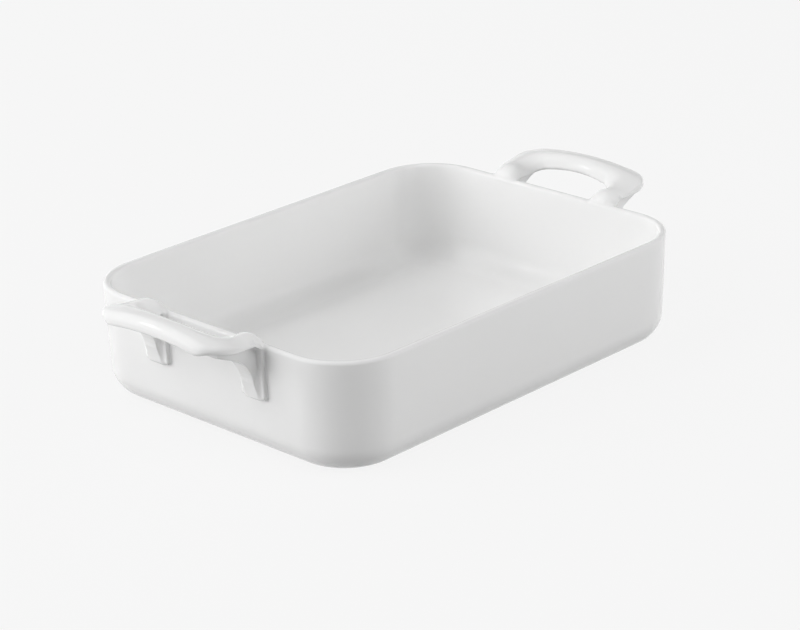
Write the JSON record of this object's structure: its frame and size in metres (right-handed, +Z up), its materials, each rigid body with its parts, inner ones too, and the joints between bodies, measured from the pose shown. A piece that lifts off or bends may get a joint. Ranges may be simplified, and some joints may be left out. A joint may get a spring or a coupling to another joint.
{
  "type": "lasagna dish",
  "caption": "Rectangular glazed porcelain oven dish with rounded corners, slightly drafted walls and a raised bowed loop handle at each short end.",
  "frame": {"origin": "centre of the foot, in the plane the dish stands on", "axes": "+X along the dish towards the rear handle, +Y across it, +Z up out of the open top"},
  "size_m": [0.4112, 0.2398, 0.0899],
  "materials": {
    "glazed_porcelain": "glossy clear glaze over white porcelain, the foot band bare"
  },
  "bodies": {
    "root": {"dish_body": "glazed_porcelain", "front_handle": "glazed_porcelain", "rear_handle": "glazed_porcelain"}
  },
  "joints": []
}
